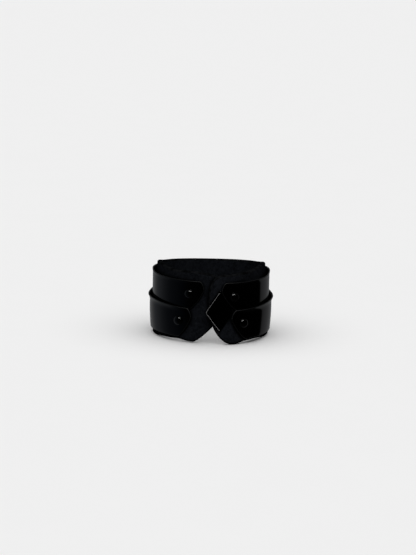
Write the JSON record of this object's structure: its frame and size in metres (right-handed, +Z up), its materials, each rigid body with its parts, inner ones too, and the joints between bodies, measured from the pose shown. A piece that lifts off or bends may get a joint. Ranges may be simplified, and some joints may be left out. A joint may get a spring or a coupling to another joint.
{
  "type": "gorget",
  "caption": "Padded neck gorget: curved black steel bands riveted over a soft collar that laps over itself at the nape, with a small lozenge plate on the outer flap.",
  "frame": {"origin": "middle of the footprint, on the surface that the collar stands on", "axes": "+Z up along the neck, -Y towards the nape closure, +Y towards the throat, +X towards the wearer's right"},
  "size_m": [0.1432, 0.1486, 0.083],
  "materials": {
    "pad_cloth": "felted, matte",
    "black_steel": "gloss black",
    "rivet_steel": "satin black",
    "plate_black": "gloss black with a silver edge line",
    "hook_tape": "woven tape"
  },
  "bodies": {
    "root": {"collar_pad": "pad_cloth", "upper_lame": "black_steel", "lower_lame": "black_steel", "rivet_upper_outer": "rivet_steel", "rivet_upper_inner": "rivet_steel", "rivet_lower_outer": "rivet_steel", "rivet_lower_inner": "rivet_steel", "nape_plate": "plate_black", "hook_patch": "hook_tape"}
  },
  "joints": []
}
